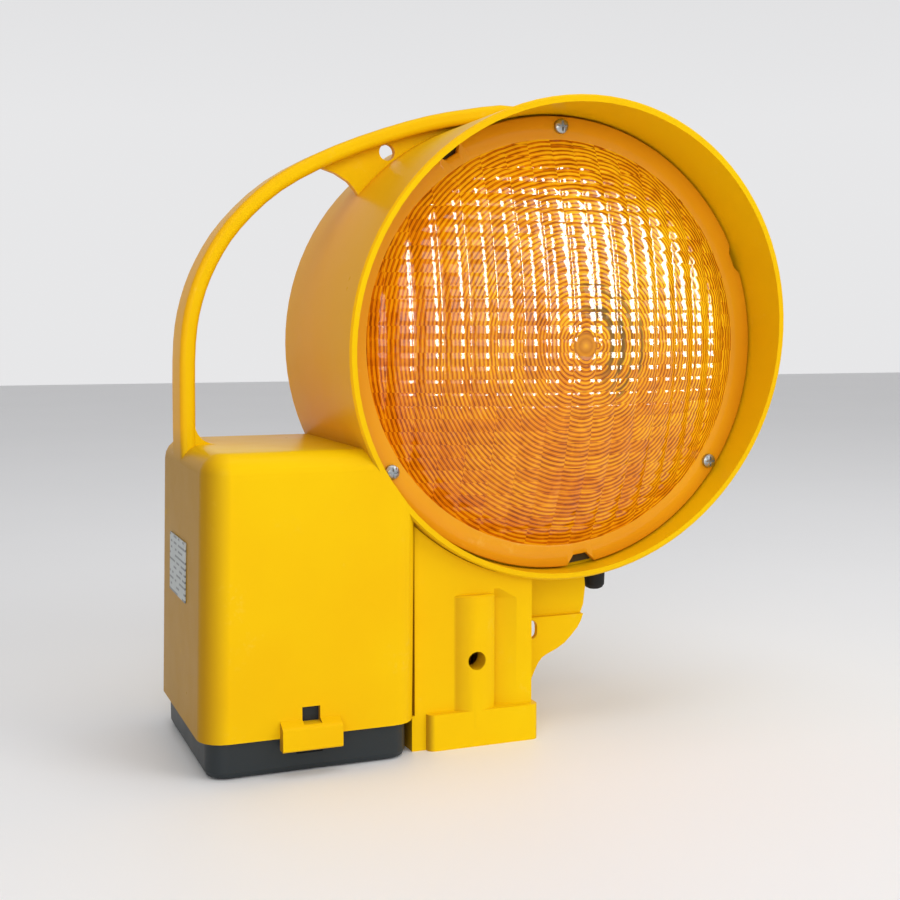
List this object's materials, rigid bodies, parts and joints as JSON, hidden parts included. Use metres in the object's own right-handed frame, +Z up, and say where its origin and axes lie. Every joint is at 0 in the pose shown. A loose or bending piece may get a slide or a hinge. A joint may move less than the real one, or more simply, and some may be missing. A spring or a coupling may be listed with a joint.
{
  "type": "battery warning light",
  "caption": "Portable road-works warning light with a domed amber lens in a hooded drum, a carrying handle, a battery box with a hinged cover, and a foot for barriers.",
  "frame": {"origin": "under the middle of the part, on the plane it stands on", "axes": "+Z up, the lens faces -Y, +X to the right when seen from the front"},
  "size_m": [0.269, 0.1274, 0.285],
  "materials": {
    "yellow_housing": "semi-gloss moulded",
    "amber_lens": "clear tinted gloss",
    "black_plastic": "satin",
    "black_rubber": "matte",
    "zinc_steel": "zinc plated",
    "spring_brass": "bright",
    "label_foil": "satin",
    "white_plastic": "satin",
    "green_board": "satin",
    "battery_wrap": "printed film"
  },
  "bodies": {
    "lamp_body": {"battery": "battery_wrap", "battery_spring_centre": "spring_brass", "battery_spring_corner": "spring_brass", "board_capacitor": "black_plastic", "contact_carrier": "black_plastic", "contact_strip_centre": "spring_brass", "contact_strip_corner": "spring_brass", "control_board": "green_board", "foot_screw_1": "zinc_steel", "foot_screw_2": "zinc_steel", "hinge_pin": "zinc_steel", "housing": "yellow_housing", "led_board": "white_plastic", "led_emitter": "amber_lens", "led_holder": "black_plastic", "lens": "amber_lens", "lens_gasket": "black_rubber", "lens_screw_left": "zinc_steel", "lens_screw_right": "zinc_steel", "lens_screw_top": "zinc_steel", "light_sensor": "black_plastic", "mounting_foot": "yellow_housing", "power_switch_body": "black_plastic", "radio_module": "zinc_steel", "rating_label": "label_foil", "switch_nut": "zinc_steel", "terminal_block": "green_board"},
    "cover_body": {"battery_cover": "black_plastic"},
    "latch_body": {"cover_latch": "black_plastic"},
    "button_body": {"power_button": "black_rubber"}
  },
  "joints": [
    {"name": "cover_hinge", "type": "hinge", "parent": "lamp_body", "child": "cover_body", "pos_m": [-0.0875, 0.0598, 0.02], "axis": [1, 0, 0], "range_deg": [0, 95]},
    {"name": "latch_flex", "type": "hinge", "parent": "cover_body", "child": "latch_body", "pos_m": [-0.0893, -0.0417, 0.0093], "axis": [-1, 0, 0], "range_deg": [0, 6], "stiffness_Nm_per_rad": 0.1},
    {"name": "button_press", "type": "slide", "parent": "lamp_body", "child": "button_body", "axis": [0, 0, 1], "range_m": [0, 0.002], "stiffness_N_per_m": 300, "springref_m": -0.001}
  ]
}
